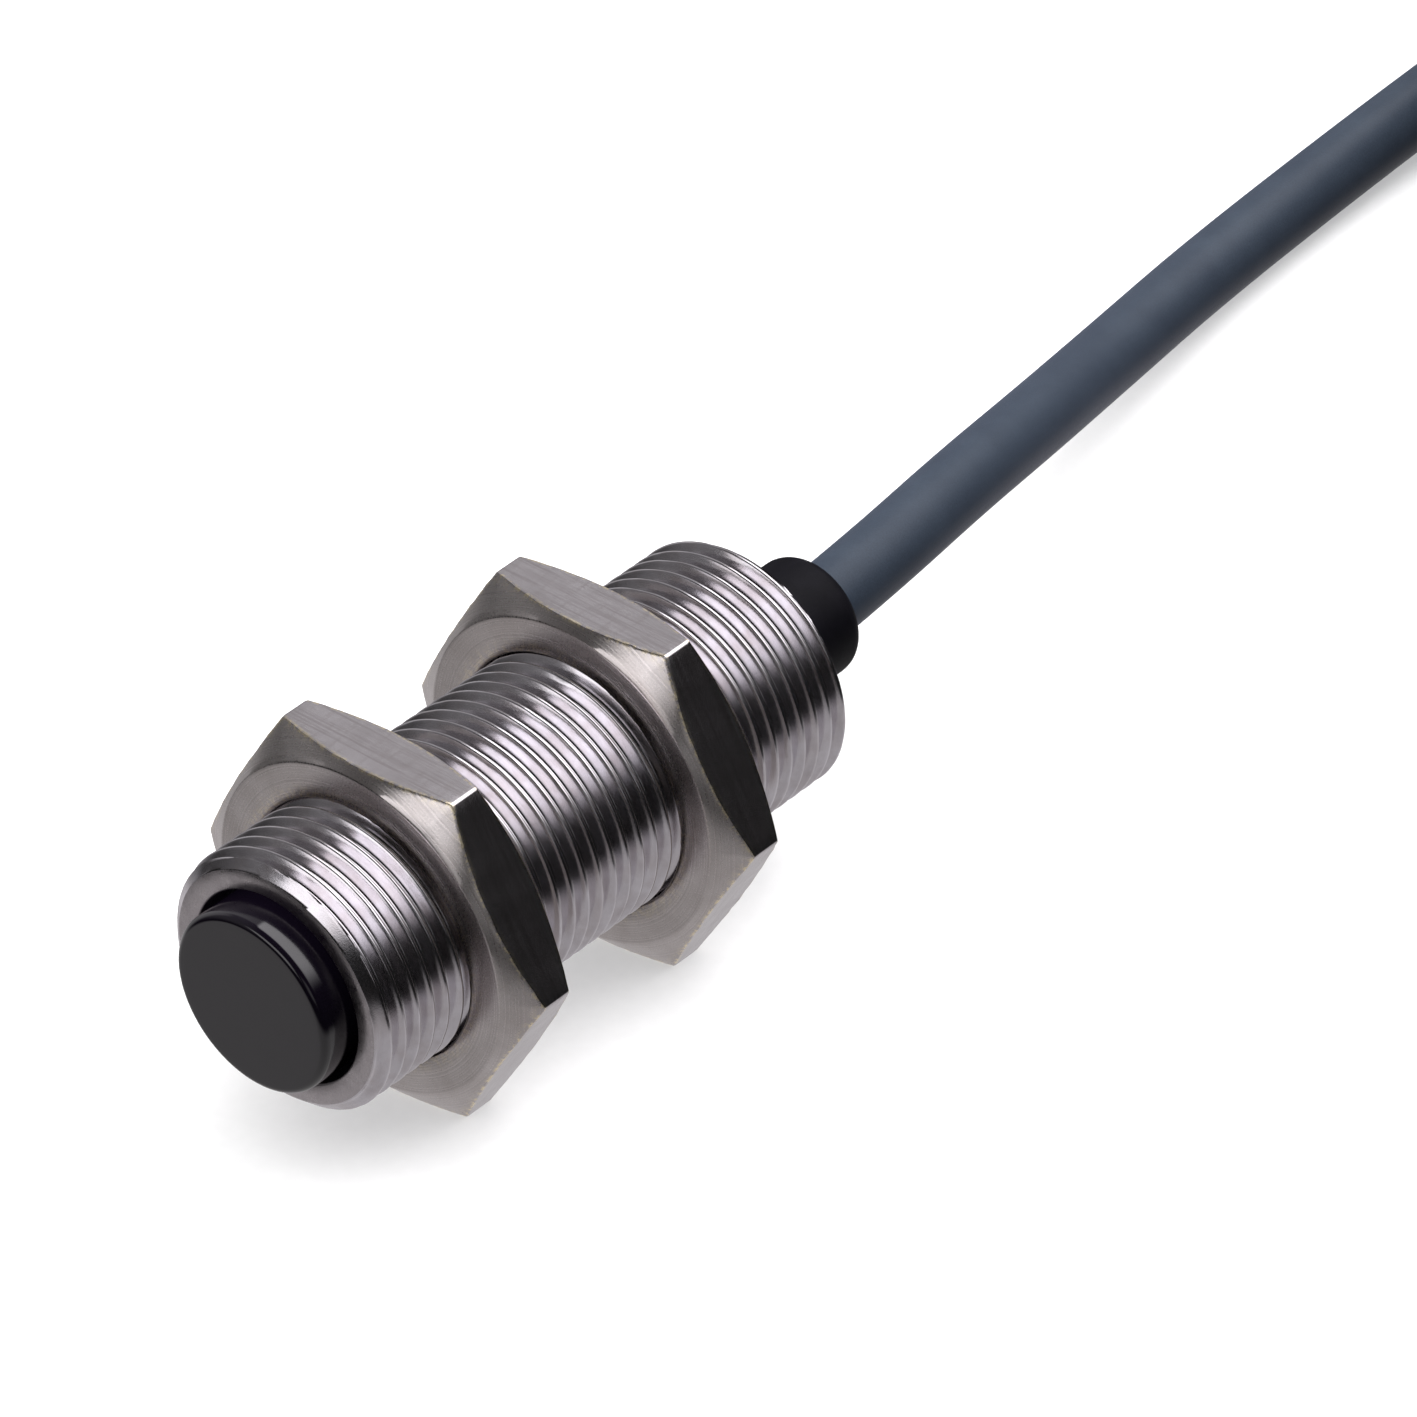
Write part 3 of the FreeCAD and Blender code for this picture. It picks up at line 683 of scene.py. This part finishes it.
def nurbs(name, ways, radius, material, resolution=8):
    """Round curves along NURBS splines, one for each way."""
    data = bpy.data.curves.new(name, "CURVE")
    data.dimensions = "3D"
    data.bevel_depth = radius * MM
    data.bevel_resolution = 6
    data.resolution_u = resolution
    data.use_fill_caps = True
    for way in ways:
        spline = data.splines.new("NURBS")
        spline.points.add(len(way) - 1)
        for point, place in zip(spline.points, way):
            point.co = (*(Vector(place) * MM), 1.0)
        spline.order_u = 3
        spline.use_endpoint_u = True
        spline.use_smooth = True
    data.materials.append(material)
    return data


def make_cable():
    way = CABLE_WAY + coil_points() + TAIL_WAY
    data = nurbs("sensor_cable", [way], CABLE_RADIUS, JACKET)
    data.bevel_resolution = 10
    return add_piece("sensor_cable", data, "barrel", "jacket", "cable", "cable_coil", "cable_tail")


CORE_STARTS = {"brown": (-0.85, -0.5), "blue": (0.85, -0.5), "black": (0.0, 0.95)}
CORE_SPREADS = {
    "brown": (0.0, -0.8, -2.7, -5.4),
    "blue": (0.0, 0.9, 2.6, 4.9),
    "black": (0.0, 0.2, -0.1, 0.7),
}
CORE_STEPS = (4.5, 10.0, 17.0, 25.0)
CORE_DROPS = (0.0, 0.5, 0.96, 1.0)
TIN_LENGTH = 5.0
STRAND_RADIUS = 0.12
OUTER_STRANDS = 6
STRAND_POINTS = 10
STRAND_TWIST = 2.4


def core_way(colour):
    end = Vector(TAIL_WAY[-1])
    across, up = CORE_STARTS[colour]
    start = Vector((end.x + across, end.y, end.z + up))
    way = [start]
    for step, drop, spread in zip(CORE_STEPS, CORE_DROPS, CORE_SPREADS[colour]):
        way.append(Vector((start.x + spread, start.y - step, start.z + drop * (CORE_RADIUS - start.z))))
    return way


def make_cores():
    """Three insulated cores that fan out of the jacket, each with a tinned, twisted end."""
    made = []
    strands = []
    for colour, material in (("brown", BROWN), ("blue", BLUE), ("black", BLACK)):
        way = core_way(colour)
        data = nurbs(colour + "_insulation", [way], CORE_RADIUS, material, resolution=12)
        made.append(add_piece(colour + "_insulation", data, "barrel", colour, colour + "_core"))
        heading = (way[-1] - way[-2]).normalized()
        side = heading.cross(Vector((0.0, 0.0, 1.0))).normalized()
        up = side.cross(heading)
        last_step = STRAND_POINTS - 1
        for strand in range(OUTER_STRANDS + 1):
            off = 2 * STRAND_RADIUS if strand < OUTER_STRANDS else 0.0
            turn = []
            for step in range(STRAND_POINTS):
                angle = math.tau * strand / OUTER_STRANDS + STRAND_TWIST * step / last_step
                across = side * math.cos(angle) * off + up * math.sin(angle) * off
                turn.append(way[-1] + heading * (TIN_LENGTH * step / last_step) + across)
            strands.append(turn)
    data = nurbs("tinned_strands", strands, STRAND_RADIUS, TINNED, resolution=4)
    data.bevel_resolution = 2
    made.append(add_piece("tinned_strands", data, "barrel", "tinned", "tinned_ends"))
    return made


TIE_THICKNESS = 0.8
TIE_WIDTH = 2.5
TIE_ANGLES = (-90.0, 30.0)
TIE_ROUND = 1.8
TIE_INNER, TIE_OUTER = 18.0, 30.0
TIE_LOW, TIE_HIGH = 0.8, 16.8
# Middle and half size of the lock and of the trimmed end, the tie's plane being y = 0.
TIE_BLOCKS = (
    ((TIE_OUTER + 1.9, 0.0, 9.2), (1.6, 2.2, 2.0)),
    ((TIE_OUTER + 1.5, 0.0, 13.2), (0.4, 1.1, 2.2)),
)


def make_ties():
    """Two black nylon ties round the coil, each with its lock on the outside and a trimmed end."""
    mesh = bmesh.new()
    for angle in TIE_ANGLES:
        place = Matrix.Translation((COIL_CENTRE.x, COIL_CENTRE.y, 0.0))
        place = place @ Matrix.Rotation(math.radians(angle), 4, "Z")
        loop = []
        for centre_x, centre_z, start in ((TIE_OUTER - TIE_ROUND, TIE_HIGH - TIE_ROUND, 0),
                                          (TIE_INNER + TIE_ROUND, TIE_HIGH - TIE_ROUND, 90),
                                          (TIE_INNER + TIE_ROUND, TIE_LOW + TIE_ROUND, 180),
                                          (TIE_OUTER - TIE_ROUND, TIE_LOW + TIE_ROUND, 270)):
            centre = Vector((centre_x, 0.0, centre_z))
            for step in range(7):
                turn = math.radians(start + 15 * step)
                loop.append((centre, Vector((math.cos(turn), 0.0, math.sin(turn)))))
        half = TIE_WIDTH / 2
        section = ((0.0, -half), (0.0, half), (TIE_THICKNESS * 0.75, half), (TIE_THICKNESS, half - 0.25),
                   (TIE_THICKNESS, 0.6), (TIE_THICKNESS - 0.15, 0.5), (TIE_THICKNESS - 0.15, -0.5),
                   (TIE_THICKNESS, -0.6), (TIE_THICKNESS, -half + 0.25), (TIE_THICKNESS * 0.75, -half))
        rings = []
        for centre, outward in loop:
            ring = []
            for out, across in section:
                point = centre + outward * (TIE_ROUND + out) + Vector((0.0, across, 0.0))
                ring.append(mesh.verts.new(place @ point * MM))
            rings.append(ring)
        count = len(section)
        for ring, following in zip(rings, rings[1:] + rings[:1]):
            for i in range(count):
                j = (i + 1) % count
                mesh.faces.new([ring[i], ring[j], following[j], following[i]])
        for centre, reach in TIE_BLOCKS:
            made = bmesh.ops.create_cube(mesh, size=2.0)["verts"]
            for vert in made:
                vert.co = vert.co * Vector(reach) + Vector(centre)
            edges = list({edge for vert in made for edge in vert.link_edges})
            bevelled = bmesh.ops.bevel(mesh, geom=edges, offset=min(reach) * 0.35, segments=2, profile=0.5,
                                       affect="EDGES")["verts"]
            for vert in set(bevelled):
                vert.co = place @ vert.co * MM
    return finish_mesh("cable_ties", mesh, [TIE], "barrel", "tie", "coil_ties")


# ---------------------------------------------------------------- carried-over CAD nodes

CARRIED_LOOKS = {
    "cap_seal_ring": RUBBER,
    "optics_carrier": plastic_look("black_carrier", (0.016, 0.016, 0.017), 0.5),
    "light_barrier": metal_look("blackened_sheet", (0.20, 0.20, 0.21), 0.45),
    "emitter_lens": clear_look("clear_lens", (0.95, 0.96, 0.97)),
    "receiver_lens": clear_look("filter_lens", (0.80, 0.74, 0.86)),
    "emitter_led": clear_look("clear_diode_case", (0.90, 0.93, 0.97)),
    "receiver_diode": plastic_look("dark_diode_case", (0.020, 0.016, 0.024), 0.2),
    "emitter_leads": TINNED,
    "receiver_leads": TINNED,
    "circuit_board": board_look(),
    "amplifier_chip": plastic_look("chip_resin", (0.018, 0.018, 0.020), 0.5),
    "voltage_regulator": plastic_look("regulator_resin", (0.020, 0.020, 0.022), 0.5),
    "output_transistor": plastic_look("transistor_resin", (0.022, 0.020, 0.020), 0.5),
    "supply_capacitor": plastic_look("tantalum_resin", (0.62, 0.40, 0.08), 0.4),
    "chip_leads": TINNED,
    "chip_capacitors": plastic_look("ceramic_body", (0.36, 0.25, 0.16), 0.45),
    "chip_resistors": plastic_look("resistor_body", (0.03, 0.03, 0.034), 0.4),
    "shield_sleeve": metal_look("brass_shield", (0.78, 0.60, 0.32), 0.3),
    "potting_plug": plastic_look("potting_resin", (0.05, 0.045, 0.04), 0.3),
    "cable_clamp_ring": metal_look("crimped_brass", (0.76, 0.58, 0.30), 0.3),
    "cable_end": JACKET,
    "brown_wire": BROWN,
    "blue_wire": BLUE,
    "black_wire": BLACK,
}


def dress_carried_nodes():
    for name, material in CARRIED_LOOKS.items():
        data = nodes[name].data
        data.materials.clear()
        data.materials.append(material)


# ---------------------------------------------------------------- studio


def make_floor():
    """A plain pale floor that the part's surfaces don't see; the table lights below stand in for it."""
    look = Look("pale_floor", Roughness=0.9)
    paper = look.noise(1.2, 3.0, 0.5)
    look.set("Base Color", look.ramp(paper, (0.3, 0.86), (0.7, 0.88)))
    mesh = bmesh.new()
    half, height = 1.5, -0.00002
    corners = ((-half, -half), (half, -half), (half, half), (-half, half))
    mesh.faces.new([mesh.verts.new((x, y, height)) for x, y in corners])
    data = bpy.data.meshes.new("floor")
    mesh.to_mesh(data)
    mesh.free()
    data.materials.append(look.material)
    floor = bpy.data.objects.new("floor", data)
    bpy.context.scene.collection.objects.link(floor)
    floor.visible_glossy = False
    floor.visible_diffuse = False


# Soft lights of the surroundings. Each is a strength, a colour and the windows that bound it. A window is an
# axis with two levels along it: the light is off at the first and full at the second.
RIGHT, BACK, FRONT, UP = (1, 0, 0), (0, 1, 0), (0, -1, 0), (0, 0, 1)
# Axes across the planes that cut off the softbox and the strip.
SOFTBOX_EDGE = (0.91, 0.25, 0.34)
STRIP_EDGE = (0.67, -0.21, 0.72)
LIGHTS = {
    "overhead_softbox": (2.6, (1.0, 0.98, 1.0), ((SOFTBOX_EDGE, -0.02, 0.04), (RIGHT, 1.05, 0.45),
                                                 (BACK, -0.05, 0.2), (UP, 0.28, 0.62))),
    "front_strip": (1.8, (1.0, 0.98, 1.0), ((STRIP_EDGE, -0.01, 0.05), (RIGHT, 0.3, 0.0), (FRONT, 0.68, 0.88),
                                            (UP, 0.04, 0.16), (UP, 0.5, 0.36))),
    "right_front_wall": (0.4, (1.0, 0.98, 1.0), ((RIGHT, 0.35, 0.6), (FRONT, 0.45, 0.65), (UP, 0.0, 0.12),
                                                 (UP, 0.5, 0.36))),
    "back_left_wall": (0.32, (1.0, 0.98, 1.0), ((RIGHT, -0.3, -0.5), (BACK, 0.2, 0.5), (UP, 0.1, 0.4))),
    "left_wall": (0.17, (1.0, 0.97, 0.99), ((RIGHT, -0.2, -0.7), (UP, -0.3, 0.2))),
    "far_left": (0.4, (1.0, 0.98, 1.0), ((RIGHT, -0.78, -0.94), (BACK, -0.4, -0.05))),
    "table": (0.45, (1.0, 0.965, 0.98), ((UP, -0.34, -0.54),)),
    "table_behind": (0.1, (0.98, 0.97, 1.0), ((UP, -0.34, -0.54), (BACK, -0.5, 0.1))),
}
AMBIENT = 0.01


def make_surroundings():
    world = bpy.data.worlds.new("studio")
    bpy.context.scene.world = world
    world.use_nodes = True
    tree = world.node_tree

    def vector_math(operation, first, second, socket=1):
        made = tree.nodes.new("ShaderNodeVectorMath")
        made.operation = operation
        for index, value in ((0, first), (socket, second)):
            if isinstance(value, bpy.types.NodeSocket):
                tree.links.new(value, made.inputs[index])
            else:
                made.inputs[index].default_value = value
        return made

    where = tree.nodes.new("ShaderNodeTexCoord").outputs["Generated"]
    total = (AMBIENT, AMBIENT, AMBIENT)
    for strength, colour, windows in LIGHTS.values():
        light = [value * strength for value in colour]
        for axis, low, high in windows:
            along = vector_math("DOT_PRODUCT", where, axis).outputs["Value"]
            fade = tree.nodes.new("ShaderNodeMapRange")
            fade.interpolation_type = "SMOOTHSTEP"
            tree.links.new(along, fade.inputs["Value"])
            fade.inputs["From Min"].default_value = low
            fade.inputs["From Max"].default_value = high
            light = vector_math("SCALE", light, fade.outputs["Result"], "Scale").outputs["Vector"]
        total = vector_math("ADD", total, light).outputs["Vector"]
    tree.links.new(total, tree.nodes["Background"].inputs["Color"])


LAMP_TARGET = (0.0, 0.05, 0.0)


def make_lamp(name, place, side, power):
    """A soft square lamp aimed at the part, place and side in metres."""
    data = bpy.data.lights.new(name, "AREA")
    data.shape = "RECTANGLE"
    data.size = side
    data.size_y = side
    data.energy = power
    lamp = bpy.data.objects.new(name, data)
    bpy.context.scene.collection.objects.link(lamp)
    lamp.location = place
    lamp.rotation_mode = "QUATERNION"
    lamp.rotation_quaternion = (Vector(LAMP_TARGET) - Vector(place)).to_track_quat("-Z", "Y")
    return lamp


def make_studio():
    make_floor()
    make_surroundings()
    shading = make_lamp("overhead_fill", (-0.3, -0.1, 0.9), 2.0, 7.0)
    shadeless = make_lamp("floor_fill", (-0.3, 0.1, 1.2), 2.4, 34.0)
    shadeless.data.use_shadow = False
    for lamp in (shading, shadeless):
        lamp.visible_glossy = False
    bpy.context.scene.view_settings.view_transform = "Standard"


# ---------------------------------------------------------------- build

cable = make_cable()
cores = make_cores()
ties = make_ties()
make_barrel()
make_nut("front_jam_nut", "front_nut", FRONT_NUT_PLACE)
make_nut("rear_jam_nut", "rear_nut", REAR_NUT_PLACE)
make_cap()
make_grommet()
dress_carried_nodes()
make_studio()
